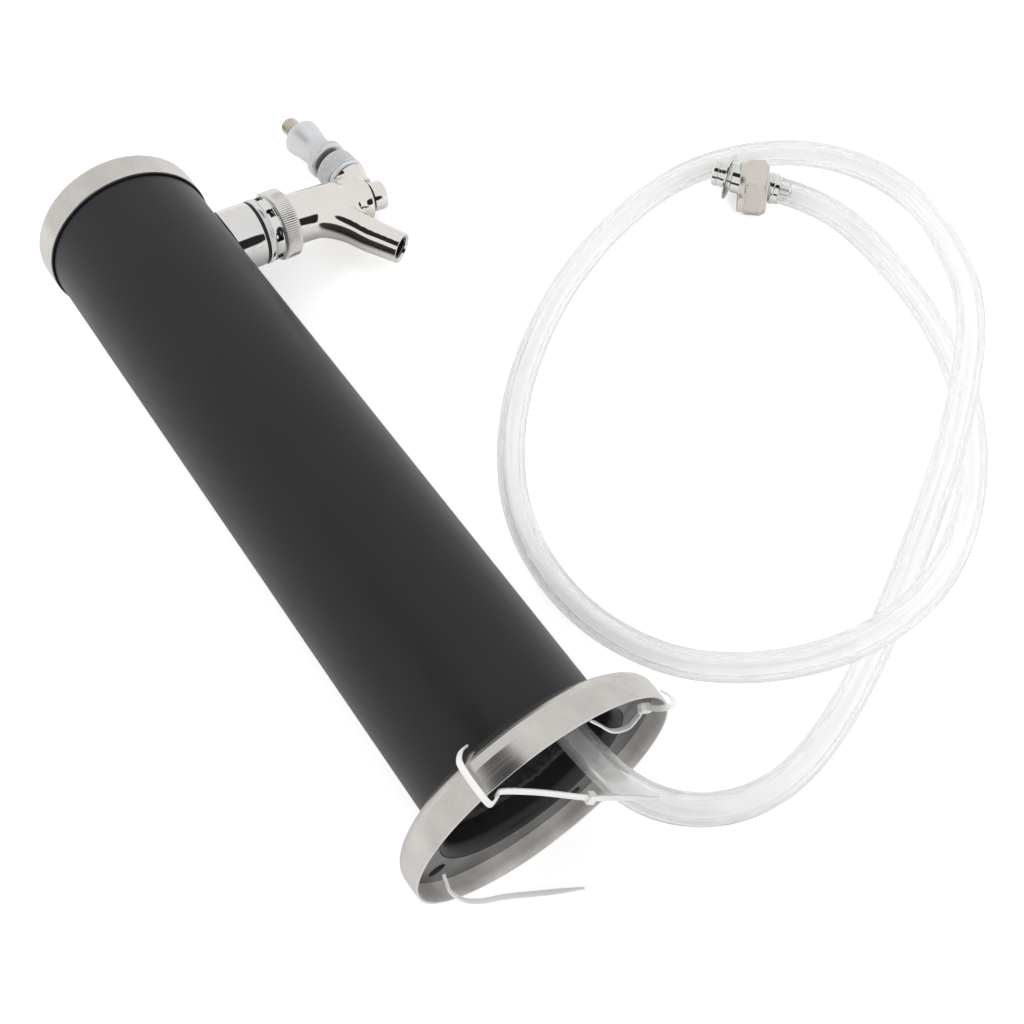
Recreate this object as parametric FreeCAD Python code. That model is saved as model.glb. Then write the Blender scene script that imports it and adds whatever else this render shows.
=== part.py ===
"""Single-faucet draft beer tower, lying on its side with its beer line paid out. Millimetres."""
import FreeCAD, Part
import math
import os
from FreeCAD import Vector

# ---------------------------------------------------------------- driving dimensions
# Heights are measured up the tower from the rim of the base flange.
COLUMN_R = 38.1
COLUMN_WALL = 1.5
COLUMN_BOTTOM = 8.2
COLUMN_TOP = 334.0
COLUMN_FLARE_R = 40.4
FLANGE_R = 55.3
FLANGE_IN_R = 54.2
FLANGE_SHOULDER_R = 55.6
FLANGE_SHOULDER = 9.0
FLANGE_TOP = 19.2
FLANGE_SHEET = 1.2
PLATE_BOTTOM = 8.0
PLATE_THICKNESS = 1.6
PLATE_GAP = 0.2
SCREW_PCD = 94.0
SCREW_HOLE_R = 3.5
SCREW_PHASE = -33.0
LINER_IN_R = 30.5
LINER_BOTTOM = 19.0
LINER_TOP = 322.0
CAP_R = 39.4
CAP_BOTTOM = 326.5
CAP_SHOULDER = 338.0
CAP_TOP = 342.5
CAP_SHEET = 1.2
CAP_CLEARANCE = 0.3
SEAL_HEIGHT = 0.75

# Distances along the shank are measured out from the column's axis.
SHANK_HEIGHT = 304.5
SHANK_R = 11.0
SHANK_START = 16.0
SHANK_BORE_R = 4.8
SHANK_FLANGE_R = 13.4
SHANK_FLANGE_START = 55.3
SLEEVE_R = 15.6
SLEEVE_END = 51.3
WASHER_END = 52.4
NUT_START = 52.6
NUT_LIP = 2.4
NUT_SHOULDER = 55.6
NUT_FLUTES_START = 60.4
NUT_END = 69.3
NUT_BAND_R = 15.8
NUT_FLUTE_R = 16.9
NUT_INSIDE_R = 14.6
NUT_CLEARANCE = 0.3
SPANNER_HOLES = 8
SPANNER_HOLE_R = 2.0
GASKET_START = 57.9
BARREL_FACE = 59.2
BARREL_THREAD_LENGTH = 9.6
LOCK_NUT_START = 25.0
LOCK_NUT_FLATS = 30.0
ELBOW_X = 8.0
ELBOW_LEG = 15.0
ELBOW_BARB = 36.0

# The barrel drops slightly away from the shank, and the lever leans back over it.
BARREL_START = 61.4
BARREL_DROP = 5.0
BARREL_R = 12.2
BARREL_THREAD_R = 14.2
BARREL_LENGTH = 55.0
REAR_CHAMBER_R = 7.5
REAR_CHAMBER_LENGTH = 14.0
SEAT_R = 4.6
SEAT_LENGTH = 2.5
GUIDE_R = 6.0
NOSE_R = 9.6
NOSE_BORE_R = 7.5
NOSE_BORE_START = 44.5
SHAFT_CLEARANCE = 0.08
SHAFT_ROD_R = 2.4
SHAFT_HEAD_R = 7.3
SHAFT_HEAD_START = 50.0
SHAFT_STUB = 4.4
LEVER_X = 111.4
LEVER_LEAN = 5.5
PIVOT_HEIGHT = 314.0
TIP_DROP = 12.0
TIP_R = 2.2
BALL_R = 5.2
SOCKET_R = 5.8
BOSS_TOP = 319.0
BONNET_R = 10.5
BONNET_BOTTOM = 316.2
BONNET_TOP = 328.4
BONNET_THREAD_R = 8.9
FERRULE_BOTTOM = 331.6
FERRULE_TOP = 357.0
FERRULE_RING_R = 10.4
NECK_R = 3.0
STEM_R = 4.0
STUD_R = 4.76
STUD_TOP = 367.4
SPOUT_R = 7.45
SPOUT_BORE_R = 5.9
SPOUT_PATH = [(76.0, 301.5), (86.5, 296.5), (94.0, 286.2), (108.0, 262.0)]

# Beer line: its route is part inside the tower (tower frame) and part on the floor (final frame).
HOSE_R = 6.35
HOSE_BORE_R = 3.2
HOSE_ARC_SHARE = 0.45
BARB_R = 3.15
ORIGIN = Vector(-169.5, 31.1, 0)
ROUTE_IN_TOWER = [
    (8.0, 0, 289.5), (8.0, 0, 246), (14, 1.5, 176), (21, -1.5, 100), (23, 0.5, 45), (23.6, 0, 12)]
ROUTE_ON_FLOOR = [
    (8, 25.5, 47.5), (23, 34, 40), (34, 50, 28), (39.5, 70, 14), (39.5, 96, 6.5), (29, 131, 6.4),
    (9, 173, 6.4), (-24, 232, 22.4), (-63, 284, 22.4), (-105, 314, 6.4), (-148, 321, 6.4),
    (-191, 299, 6.4), (-216, 252, 6.4), (-215, 200, 6.4), (-196, 145, 6.4), (-162, 97, 6.4),
    (-118, 66, 6.4), (-70, 60, 6.4), (-28, 75, 6.4), (0, 104, 9), (19, 138, 22.4), (20, 180, 22.4),
    (-2, 226, 7), (-36, 259, 6.4), (-78, 278, 6.4), (-131, 286, 6.4), (-159.5, 277.7, 12.9),
    (-174.4, 268.6, 12.9)]

# Distances along the end fitting are measured from its open nose.
TAIL_LENGTH = 33.6
TAIL_R = 6.1
TAIL_NOSE_R = 6.2
TAIL_DISC_R = 11.2
TAIL_DISC_START = 7.0
TAIL_DISC_END = 8.5
TAIL_COLLAR_START = 26.5
TAIL_COLLAR_STEP = 31.1
TAIL_BARB_LENGTH = 5.0
COUPLER_NUT_FLATS = 24.8
COUPLER_NUT_LENGTH = 13.8
COUPLER_NUT_MOUTH_R = 10.8
COUPLER_NUT_LIP_R = 9.2
COUPLER_NUT_LIP = 2.4
COUPLER_NUT_CENTRE = Vector(-184.5, 259.75, 12.4)
COUPLER_NUT_HEADING = 45.4

# Ties: points in the tower frame, given as (out, across, height).
TIE_R = 1.1
TIE_LOW = [
    (-37.2, 29.4, 6.4), (-37.8, 30.2, 3.5), (-38, 31.5, 0.3), (-34.5, 36.5, -3.4), (-26, 47.5, -4.8),
    (-14, 55.8, -7), (0, 57, -14), (12, 54.4, -21)]
TIE_OUTER = [
    (-24.3, -33.6, 21.2), (-27.7, -38.3, 19.4), (-30.8, -42.6, 16.8), (-33.4, -46.1, 13.4),
    (-34.2, -47.2, 8.3), (-34.1, -47.1, 1.6), (-33, -45.6, -3.2), (-29.2, -43, -2), (-25.5, -40, 0),
    (-8, -21.5, -2), (12.5, -3.7, -8.3), (22.3, -2.1, -13.7), (32.6, -5.9, -22.5)]
TIE_FAR = [
    (54.9, -20, 8.3), (52.6, -25.6, 1), (48.9, -28.4, -3.3), (45.2, -26.4, -1.6), (43.8, -19, 3.8), (44, -11, 5),
    (40.4, -5.3, 5.2), (34.1, -6.2, 7), (27.8, -14.3, 9.5), (24.5, -18, 11)]
TIE_HEAD = 4.2

# The tower lies on the shoulders of its base flange and its cap, with the faucet to one side.
LIE_ROLL = 15.0
LIE_TILT = math.degrees(math.atan2(FLANGE_SHOULDER_R - CAP_R, CAP_SHOULDER - FLANGE_SHOULDER))
OUT = Vector(1, 0, 0)
UP = Vector(0, 0, 1)
DOWN = Vector(0, 0, -1)


# ---------------------------------------------------------------- frames
def lie_matrix():
    """Takes the standing tower's frame (X to the faucet, Z up the tower) to the lying frame."""
    tilt = math.radians(LIE_TILT)
    roll = math.radians(LIE_ROLL)
    up_tower = Vector(-math.cos(tilt), 0, -math.sin(tilt))
    lift = Vector(-math.sin(tilt), 0, math.cos(tilt))
    faucet = Vector(0, math.cos(roll), 0) - lift * math.sin(roll)
    across = up_tower.cross(faucet)
    height = FLANGE_SHOULDER_R * math.cos(tilt) + FLANGE_SHOULDER * math.sin(tilt)
    base = Vector(0, 0, height) - ORIGIN
    return FreeCAD.Matrix(
        faucet.x, across.x, up_tower.x, base.x,
        faucet.y, across.y, up_tower.y, base.y,
        faucet.z, across.z, up_tower.z, base.z,
        0, 0, 0, 1)


LIE = lie_matrix()


def lying(shape):
    copy = shape.copy()
    copy.Placement = FreeCAD.Placement(LIE).multiply(copy.Placement)
    return copy


def shank_point(distance):
    return Vector(distance, 0, SHANK_HEIGHT)


def barrel_direction():
    drop = math.radians(BARREL_DROP)
    return Vector(math.cos(drop), 0, -math.sin(drop))


def barrel_point(distance):
    return shank_point(BARREL_START) + barrel_direction() * distance


def lever_direction():
    lean = math.radians(LEVER_LEAN)
    return Vector(-math.sin(lean), 0, math.cos(lean))


def lever_point(height):
    """Point on the lever's axis at a height up the tower."""
    rise = (height - PIVOT_HEIGHT) / math.cos(math.radians(LEVER_LEAN))
    return Vector(LEVER_X, 0, PIVOT_HEIGHT) + lever_direction() * rise


# ---------------------------------------------------------------- solids
def along(start, direction, length, radius):
    return Part.makeCylinder(radius, length, start, direction)


def between(start, end, radius):
    return along(start, end - start, (end - start).Length, radius)


def tube(start, direction, length, outer, inner):
    return along(start, direction, length, outer).cut(along(start, direction, length, inner))


def fused(*shapes):
    return shapes[0].fuse(list(shapes[1:])).removeSplitter()


def revolved(edges):
    """Closed profile in the XZ plane, turned about Z. A pair is a line and a triple is an arc."""
    shapes = []
    for edge in edges:
        points = [Vector(r, 0, z) for r, z in edge]
        if len(points) == 2:
            shapes.append(Part.LineSegment(*points).toShape())
        else:
            shapes.append(Part.Arc(*points).toShape())
    face = Part.Face(Part.Wire(shapes))
    return face.revolve(Vector(0, 0, 0), UP, 360)


def turned(profile, start, direction):
    """Lathe part from (distance, radius) pairs along a direction, closed on its axis."""
    points = [Vector(r, 0, d) for d, r in profile]
    points = [Vector(0, 0, profile[0][0])] + points + [Vector(0, 0, profile[-1][0])]
    points.append(points[0])
    solid = Part.Face(Part.makePolygon(points)).revolve(Vector(0, 0, 0), UP, 360)
    solid.Placement = FreeCAD.Placement(start, FreeCAD.Rotation(UP, direction))
    return solid


def hexagon(flats, length, start, direction, flat_faces):
    points = []
    for i in range(7):
        angle = math.radians(60 * i + 30)
        points.append(Vector(math.cos(angle), math.sin(angle), 0) * (flats / math.sqrt(3)))
    solid = Part.Face(Part.makePolygon(points)).extrude(Vector(0, 0, length))
    chamfer = turned([(0, flats / 2), (1.2, flats / 2 + 2.5), (length - 1.2, flats / 2 + 2.5),
                      (length, flats / 2)], Vector(0, 0, 0), UP)
    solid = solid.common(chamfer)
    turn = FreeCAD.Rotation(flat_faces, direction.cross(flat_faces), direction, "ZXY")
    solid.Placement = FreeCAD.Placement(start, turn)
    return solid


# ---------------------------------------------------------------- column, cap and base
def column_tube():
    inside = COLUMN_R - COLUMN_WALL
    body = revolved([
        ((inside, 12.8), (inside, COLUMN_TOP)),
        ((inside, COLUMN_TOP), (COLUMN_R, COLUMN_TOP)),
        ((COLUMN_R, COLUMN_TOP), (COLUMN_R, 14.5)),
        ((COLUMN_R, 14.5), (38.7, 11.7), (COLUMN_FLARE_R, 9.8)),
        ((COLUMN_FLARE_R, 9.8), (COLUMN_FLARE_R, COLUMN_BOTTOM)),
        ((COLUMN_FLARE_R, COLUMN_BOTTOM), (37.6, 9.7), (inside, 12.8))])
    return body.cut(along(shank_point(0), OUT, 60, SHANK_R + 0.4))


def base_flange():
    under = FLANGE_TOP - FLANGE_SHEET
    plate_top = PLATE_BOTTOM + PLATE_THICKNESS
    return revolved([
        ((FLANGE_R, 0), (FLANGE_SHOULDER_R, FLANGE_SHOULDER)),
        ((FLANGE_SHOULDER_R, FLANGE_SHOULDER), (53.9, 13.3), (49.5, 16.0)),
        ((49.5, 16.0), (43.3, 18.4)),
        ((43.3, 18.4), (40.9, 19.0), (COLUMN_R, FLANGE_TOP)),
        ((COLUMN_R, FLANGE_TOP), (COLUMN_R, under)),
        ((COLUMN_R, under), (40.8, 17.75), (43.0, 17.2)),
        ((43.0, 17.2), (49.0, 14.9)),
        ((49.0, 14.9), (52.6, 12.6), (FLANGE_IN_R, plate_top)),
        ((FLANGE_IN_R, plate_top), (FLANGE_IN_R, 0)),
        ((FLANGE_IN_R, 0), (FLANGE_R, 0))])


def mounting_plate():
    base = Vector(0, 0, PLATE_BOTTOM)
    plate = tube(base, UP, PLATE_THICKNESS, FLANGE_IN_R, COLUMN_FLARE_R + PLATE_GAP)
    for i in range(4):
        angle = math.radians(SCREW_PHASE + 90 * i)
        centre = Vector(math.cos(angle), math.sin(angle), 0) * (SCREW_PCD / 2)
        plate = plate.cut(along(centre, UP, 20, SCREW_HOLE_R))
    return plate


def foam_liner():
    height = LINER_TOP - LINER_BOTTOM
    liner = tube(Vector(0, 0, LINER_BOTTOM), UP, height, COLUMN_R - COLUMN_WALL, LINER_IN_R)
    pocket = Part.makeBox(25, 38, 60, Vector(20, -19, SHANK_HEIGHT - 19))
    return liner.cut(pocket)


def top_cap():
    inside = COLUMN_R + CAP_CLEARANCE
    under = CAP_TOP - CAP_SHEET
    return revolved([
        ((CAP_R, CAP_BOTTOM), (CAP_R, CAP_SHOULDER)),
        ((CAP_R, CAP_SHOULDER), (38.3, 341.3), (35.0, CAP_TOP)),
        ((35.0, CAP_TOP), (0, CAP_TOP)),
        ((0, CAP_TOP), (0, under)),
        ((0, under), (35.0, under)),
        ((35.0, under), (37.4, 340.4), (inside, CAP_SHOULDER)),
        ((inside, CAP_SHOULDER), (inside, CAP_BOTTOM)),
        ((inside, CAP_BOTTOM), (CAP_R, CAP_BOTTOM))])


def cap_seal():
    start = Vector(0, 0, CAP_BOTTOM - SEAL_HEIGHT)
    return tube(start, UP, SEAL_HEIGHT, CAP_R - 0.3, COLUMN_R + CAP_CLEARANCE)


# ---------------------------------------------------------------- shank
def shank_sleeve():
    sleeve = tube(shank_point(20), OUT, SLEEVE_END - 20, SLEEVE_R, SHANK_R)
    return sleeve.cut(Part.makeCylinder(COLUMN_R, 400))


def shank():
    profile = [
        (SHANK_START, SHANK_R), (SHANK_FLANGE_START, SHANK_R), (SHANK_FLANGE_START, SHANK_FLANGE_R),
        (GASKET_START, SHANK_FLANGE_R)]
    body = turned(profile, shank_point(0), OUT)
    return body.cut(along(shank_point(0), OUT, 80, SHANK_BORE_R))


def shank_washer():
    return tube(shank_point(SLEEVE_END), OUT, WASHER_END - SLEEVE_END, NUT_BAND_R, SHANK_R)


def saddle_washer():
    block = tube(shank_point(31), OUT, 10, 14.0, SHANK_R)
    return block.common(Part.makeCylinder(COLUMN_R - COLUMN_WALL, 400))


def shank_lock_nut():
    nut = hexagon(LOCK_NUT_FLATS, 31 - LOCK_NUT_START, shank_point(LOCK_NUT_START), OUT, UP)
    return nut.cut(along(shank_point(20), OUT, 20, SHANK_R))


def line_elbow():
    """Elbow on the inner end of the shank, with its barb pointing down the tower."""
    corner = shank_point(ELBOW_X)
    arm = between(shank_point(ELBOW_X - 4), shank_point(SHANK_START), 7.5)
    leg = along(corner, DOWN, ELBOW_LEG, 6.6)
    barb = along(corner, DOWN, ELBOW_BARB, BARB_R)
    drill = fused(along(corner, DOWN, ELBOW_BARB + 4, 2.1), along(corner, OUT, 20, 2.1))
    return fused(arm, leg, barb).cut(drill)


def line_clamp():
    centre = Vector(ELBOW_X, 0, SHANK_HEIGHT - ELBOW_LEG - 10)
    band = tube(centre, UP, 7, HOSE_R + 0.9, HOSE_R + 0.05)
    ear = Part.makeBox(4.6, 3.4, 7, centre + Vector(-HOSE_R - 5.0, -1.7, 0))
    return fused(band, ear).cut(along(centre, UP, 7, HOSE_R + 0.05))


# ---------------------------------------------------------------- coupling nut and faucet
def coupling_nut():
    profile = [
        (NUT_START, NUT_BAND_R - 0.5), (NUT_START + 0.5, NUT_BAND_R), (NUT_SHOULDER, NUT_BAND_R),
        (NUT_SHOULDER, NUT_BAND_R - 0.4), (NUT_FLUTES_START, NUT_BAND_R - 0.4),
        (NUT_FLUTES_START + 1.0, NUT_FLUTE_R), (NUT_END - 0.8, NUT_FLUTE_R),
        (NUT_END, NUT_FLUTE_R - 0.8)]
    body = turned(profile, shank_point(0), OUT)
    body = body.cut(along(shank_point(0), OUT, 100, SHANK_R + NUT_CLEARANCE))
    body = body.cut(along(shank_point(NUT_START + NUT_LIP), OUT, 40, NUT_INSIDE_R))
    middle = shank_point((NUT_SHOULDER + NUT_FLUTES_START) / 2)
    for i in range(SPANNER_HOLES):
        angle = math.radians(360 / SPANNER_HOLES * i + 20)
        radial = Vector(0, math.cos(angle), math.sin(angle))
        body = body.cut(along(middle + radial * (NUT_INSIDE_R - 1), radial, 6, SPANNER_HOLE_R))
    return body


def faucet_gasket():
    return tube(shank_point(GASKET_START), OUT, BARREL_FACE - GASKET_START, 12.6, SHANK_BORE_R)


def spout(radius, extra):
    points = [Vector(x, 0, z) for x, z in SPOUT_PATH]
    way = (points[-1] - points[-2]).normalize()
    points[-1] = points[-1] + way * extra
    pieces = []
    for start, end in zip(points, points[1:]):
        pieces.append(Part.makeSphere(radius, start))
        pieces.append(between(start, end, radius))
    return fused(*pieces)


def swing_slot(lowest, back, front, half_width):
    """Clear space for the lever's tip, squared to the lever's axis."""
    box = Part.makeBox(back + front, 2 * half_width, 9, Vector(-back, -half_width, 0))
    turn = FreeCAD.Rotation(Vector(0, 1, 0), -LEVER_LEAN)
    box.Placement = FreeCAD.Placement(lever_point(lowest), turn)
    return box


def faucet_body():
    way = barrel_direction()
    thread = along(shank_point(BARREL_FACE), OUT, BARREL_THREAD_LENGTH, BARREL_THREAD_R)
    barrel = turned(
        [(3, BARREL_R), (38, BARREL_R), (50, NOSE_R), (BARREL_LENGTH, NOSE_R)], barrel_point(0), way)
    boss = turned([(-12, 8.4), (-6, 8.6), (1.0, 9.9), (1.8, 9.9), (1.8, BONNET_THREAD_R),
                   (9.0, BONNET_THREAD_R)], lever_point(PIVOT_HEIGHT), lever_direction())
    body = fused(thread, barrel, boss, spout(SPOUT_R, 0))
    body = body.cut(along(barrel_point(-5), way, 5 + REAR_CHAMBER_LENGTH, REAR_CHAMBER_R))
    body = body.cut(along(barrel_point(10), way, 20, SEAT_R))
    seat_end = REAR_CHAMBER_LENGTH + SEAT_LENGTH
    body = body.cut(along(barrel_point(seat_end), way, BARREL_LENGTH, GUIDE_R))
    body = body.cut(along(barrel_point(NOSE_BORE_START), way, 30, NOSE_BORE_R))
    bore = spout(SPOUT_BORE_R, 5)
    body = body.cut(bore.cut(along(barrel_point(0), way, seat_end, BARREL_R)))
    body = body.cut(along(lever_point(309.6), lever_direction(), 30, SOCKET_R))
    body = body.cut(along(lever_point(317.2), lever_direction(), 20, 7.3))
    return body.cut(swing_slot(301.5, 8.0, 4.6, 3.1))


def faucet_shaft():
    radius = GUIDE_R - SHAFT_CLEARANCE
    end = BARREL_LENGTH + SHAFT_STUB
    profile = [
        (6.5, SHAFT_ROD_R), (34.0, SHAFT_ROD_R), (34.0, radius), (SHAFT_HEAD_START, radius),
        (SHAFT_HEAD_START, SHAFT_HEAD_R), (end - 1.0, SHAFT_HEAD_R), (end, SHAFT_HEAD_R - 1.0)]
    body = turned(profile, barrel_point(0), barrel_direction())
    body = body.cut(swing_slot(298.8, 2.7, 2.9, 2.7))
    return body.cut(swing_slot(303.2, 3.0, 5.4, 2.7))


def seat_washer():
    start = REAR_CHAMBER_LENGTH - 3.0
    return tube(barrel_point(start), barrel_direction(), 2.7, 6.6, SHAFT_ROD_R)


def shaft_nut():
    start = REAR_CHAMBER_LENGTH - 5.6
    return tube(barrel_point(start), barrel_direction(), 2.6, 4.4, SHAFT_ROD_R)


def lever():
    """Ball lever: tip in the shaft's slot, ball, stem and threaded stud."""
    tip = lever_point(PIVOT_HEIGHT) - lever_direction() * TIP_DROP
    ball = lever_point(PIVOT_HEIGHT)
    return fused(
        Part.makeSphere(TIP_R, tip), between(tip, ball, TIP_R - 0.3), Part.makeSphere(BALL_R, ball),
        between(ball, lever_point(FERRULE_BOTTOM), NECK_R),
        between(lever_point(FERRULE_BOTTOM), lever_point(FERRULE_TOP), STEM_R),
        between(lever_point(FERRULE_TOP), lever_point(STUD_TOP), STUD_R))


def lever_turned(profile):
    scale = 1 / math.cos(math.radians(LEVER_LEAN))
    steps = [((height - PIVOT_HEIGHT) * scale, radius) for height, radius in profile]
    return turned(steps, lever_point(PIVOT_HEIGHT), lever_direction())


def lever_ferrule():
    body = lever_turned([
        (FERRULE_BOTTOM, 9.4), (332.4, FERRULE_RING_R), (336.4, FERRULE_RING_R), (338.4, 9.2),
        (341.5, 8.1), (345.0, 7.8), (348.5, 8.3), (352.0, 9.4), (355.0, 9.8), (FERRULE_TOP, 8.0)])
    return body.cut(along(lever_point(FERRULE_BOTTOM - 5), lever_direction(), 50, STEM_R))


def bonnet():
    body = lever_turned([
        (BONNET_BOTTOM, 9.6), (BONNET_BOTTOM + 0.8, BONNET_R), (327.4, BONNET_R), (BONNET_TOP, 9.8)])
    thread_end = 9.0
    ball = lever_point(PIVOT_HEIGHT)
    body = body.cut(along(ball, lever_direction(), thread_end, BONNET_THREAD_R))
    return body.cut(lever_turned([(322.0, 6.8), (BONNET_TOP + 1, 9.2)]))


def friction_ring():
    body = lever_turned([(317.3, 7.3), (319.6, 7.3)])
    return body.cut(lever_turned([(317.0, 4.95), (317.8, 4.95), (319.8, 5.8)]))


def ball_washer():
    body = lever_turned([(319.6, 7.3), (321.4, 7.3)])
    return body.cut(along(lever_point(316), lever_direction(), 10, 6.4))


# ---------------------------------------------------------------- beer line and end fitting
def hose_route():
    inside = [LIE.multVec(Vector(*point)) for point in ROUTE_IN_TOWER]
    return inside + [Vector(*point) - ORIGIN for point in ROUTE_ON_FLOOR]


def rounded_wire(points):
    """Straight runs joined by tangent arcs, and the radius of each arc."""
    edges = []
    radii = []
    at = points[0]
    for before, corner, after in zip(points, points[1:], points[2:]):
        back = (before - corner).normalize()
        on = (after - corner).normalize()
        cut = HOSE_ARC_SHARE * min((before - corner).Length, (after - corner).Length)
        start = corner + back * cut
        end = corner + on * cut
        half = math.pi / 2 - back.getAngle(on) / 2
        radius = cut / math.tan(half)
        middle = corner + (back + on).normalize() * (radius / math.cos(half) - radius)
        edges.append(Part.LineSegment(at, start).toShape())
        edges.append(Part.Arc(start, middle, end).toShape())
        radii.append(radius)
        at = end
    edges.append(Part.LineSegment(at, points[-1]).toShape())
    return Part.Wire(edges), radii


def beer_hose():
    points = hose_route()
    wire, radii = rounded_wire(points)
    way = points[1] - points[0]
    ring = []
    for radius in (HOSE_R, HOSE_BORE_R):
        circle = Part.Wire(Part.makeCircle(radius, points[0], way))
        ring.append(wire.makePipeShell([circle], True, False))
    hose = ring[0].cut(ring[1])
    section = math.pi * (HOSE_R ** 2 - HOSE_BORE_R ** 2)
    print("hose length", round(wire.Length, 1), "volume ratio", round(hose.Volume / section / wire.Length, 4))
    print("arc radii", [round(radius) for radius in radii])
    return hose


def fitting_way():
    last, end = hose_route()[-2:]
    return (last - end).normalize()


def fitting_point(distance):
    return hose_route()[-1] - fitting_way() * (TAIL_LENGTH - distance)


def tailpiece():
    body = turned([
        (0, TAIL_NOSE_R - 0.6), (0.8, TAIL_NOSE_R), (TAIL_DISC_START, TAIL_NOSE_R),
        (TAIL_DISC_START, TAIL_DISC_R), (TAIL_DISC_END, TAIL_DISC_R), (TAIL_DISC_END, TAIL_R),
        (TAIL_COLLAR_START, TAIL_R), (TAIL_COLLAR_START, BARB_R),
        (TAIL_LENGTH + TAIL_BARB_LENGTH, BARB_R)], fitting_point(0), fitting_way())
    body = body.cut(along(fitting_point(-5), fitting_way(), 60, 2.1))
    return body.cut(along(fitting_point(-1), fitting_way(), 7, 4.4))


def tail_collar():
    step = TAIL_COLLAR_STEP - TAIL_COLLAR_START
    body = fused(
        along(fitting_point(TAIL_COLLAR_START), fitting_way(), step, 7.5),
        along(fitting_point(TAIL_COLLAR_STEP), fitting_way(), TAIL_LENGTH - TAIL_COLLAR_STEP, 6.7))
    return body.cut(along(fitting_point(0), fitting_way(), 60, BARB_R))


def coupler_nut():
    heading = math.radians(COUPLER_NUT_HEADING)
    way = Vector(math.cos(heading), math.sin(heading), 0)
    mouth = COUPLER_NUT_CENTRE - ORIGIN - way * (COUPLER_NUT_LENGTH / 2)
    nut = hexagon(COUPLER_NUT_FLATS, COUPLER_NUT_LENGTH, mouth, way, UP)
    nut = nut.cut(along(mouth, way, COUPLER_NUT_LENGTH - COUPLER_NUT_LIP, COUPLER_NUT_MOUTH_R))
    return nut.cut(along(mouth, way, 30, COUPLER_NUT_LIP_R))


# ---------------------------------------------------------------- cable ties
def tie(points, head):
    path = [Vector(*point) for point in points]
    pieces = [Part.makeSphere(TIE_R, path[0])]
    for start, end in zip(path, path[1:]):
        pieces.append(between(start, end, TIE_R))
        pieces.append(Part.makeSphere(TIE_R, end))
    if head is not None:
        half = TIE_HEAD / 2
        pieces.append(Part.makeBox(TIE_HEAD, TIE_HEAD, TIE_HEAD, path[head] - Vector(half, half, half)))
    return fused(*pieces)


# ---------------------------------------------------------------- assembly
TOWER_PARTS = {
    "column_tube": column_tube, "base_flange": base_flange, "mounting_plate": mounting_plate,
    "foam_liner": foam_liner, "top_cap": top_cap, "cap_seal": cap_seal,
    "shank_sleeve": shank_sleeve, "shank": shank, "shank_washer": shank_washer,
    "saddle_washer": saddle_washer, "shank_lock_nut": shank_lock_nut, "line_elbow": line_elbow,
    "line_clamp": line_clamp, "coupling_nut": coupling_nut, "faucet_gasket": faucet_gasket,
    "faucet_body": faucet_body, "faucet_shaft": faucet_shaft, "seat_washer": seat_washer,
    "shaft_nut": shaft_nut, "lever": lever, "lever_ferrule": lever_ferrule, "bonnet": bonnet,
    "friction_ring": friction_ring, "ball_washer": ball_washer}
FLOOR_PARTS = {
    "beer_hose": beer_hose, "tailpiece": tailpiece, "tail_collar": tail_collar,
    "coupler_nut": coupler_nut}
TIES = {"tie_low": (TIE_LOW, None), "tie_outer": (TIE_OUTER, 10), "tie_far": (TIE_FAR, 4)}


def build():
    solids = {name: lying(make()) for name, make in TOWER_PARTS.items()}
    solids.update({name: make() for name, make in FLOOR_PARTS.items()})
    solids.update({name: lying(tie(points, head)) for name, (points, head) in TIES.items()})
    return solids


def check_and_save(solids):
    floor = FreeCAD.BoundBox()
    for name, solid in sorted(solids.items()):
        if len(solid.Solids) != 1 or not solid.isValid():
            print("CHECK", name, len(solid.Solids), solid.isValid())
        if name not in FLOOR_PARTS:
            floor.add(solid.BoundBox)
        solid.exportStep("parts/" + name + ".step")
    centre = floor.Center
    print("tower box centre", round(centre.x, 2), round(centre.y, 2), "lowest", round(floor.ZMin, 3))


os.makedirs("parts", exist_ok=True)
check_and_save(build())
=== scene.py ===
"""Looks for the draft beer tower: lathe-turned metal, cast faucet, clear beer line, cable ties."""
import bpy
import bmesh
import math
from mathutils import Matrix, Vector


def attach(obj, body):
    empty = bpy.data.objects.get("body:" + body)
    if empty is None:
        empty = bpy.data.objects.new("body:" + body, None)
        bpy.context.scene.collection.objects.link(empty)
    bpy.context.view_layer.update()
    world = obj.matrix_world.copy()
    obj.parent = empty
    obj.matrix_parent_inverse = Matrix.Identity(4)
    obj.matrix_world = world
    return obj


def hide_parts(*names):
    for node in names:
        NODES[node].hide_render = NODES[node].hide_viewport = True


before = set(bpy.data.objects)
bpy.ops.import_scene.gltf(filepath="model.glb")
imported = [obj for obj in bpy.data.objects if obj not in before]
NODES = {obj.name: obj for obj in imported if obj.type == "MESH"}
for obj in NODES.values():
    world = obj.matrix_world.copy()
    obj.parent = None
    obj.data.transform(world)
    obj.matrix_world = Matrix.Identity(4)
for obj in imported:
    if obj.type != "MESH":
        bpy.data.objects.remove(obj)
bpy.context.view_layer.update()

# ---------------------------------------------------------------- frames, in millimetres
# The tower's own frame has x out through the faucet, y across and z from the base up to the cap.
# The tower lies on the shoulders of its flange and cap, rolled so that the faucet points below level.
# Places beside the tower are measured from the floor under the base's centre, and from there the
# part's own origin is at ORIGIN.
MM = 1000
ORIGIN = Vector((-169.5, 31.1, 0))
FLANGE_R, FLANGE_S = 55.6, 9.0
CAP_R, CAP_S = 39.4, 338.0
TILT = math.atan2(FLANGE_R - CAP_R, CAP_S - FLANGE_S)
ROLL = math.radians(15)
UP_TOWER = Vector((-math.cos(TILT), 0, -math.sin(TILT)))
LIFT = Vector((-math.sin(TILT), 0, math.cos(TILT)))
FAUCET = Vector((0, math.cos(ROLL), 0)) - LIFT * math.sin(ROLL)
ACROSS = UP_TOWER.cross(FAUCET)
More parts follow.
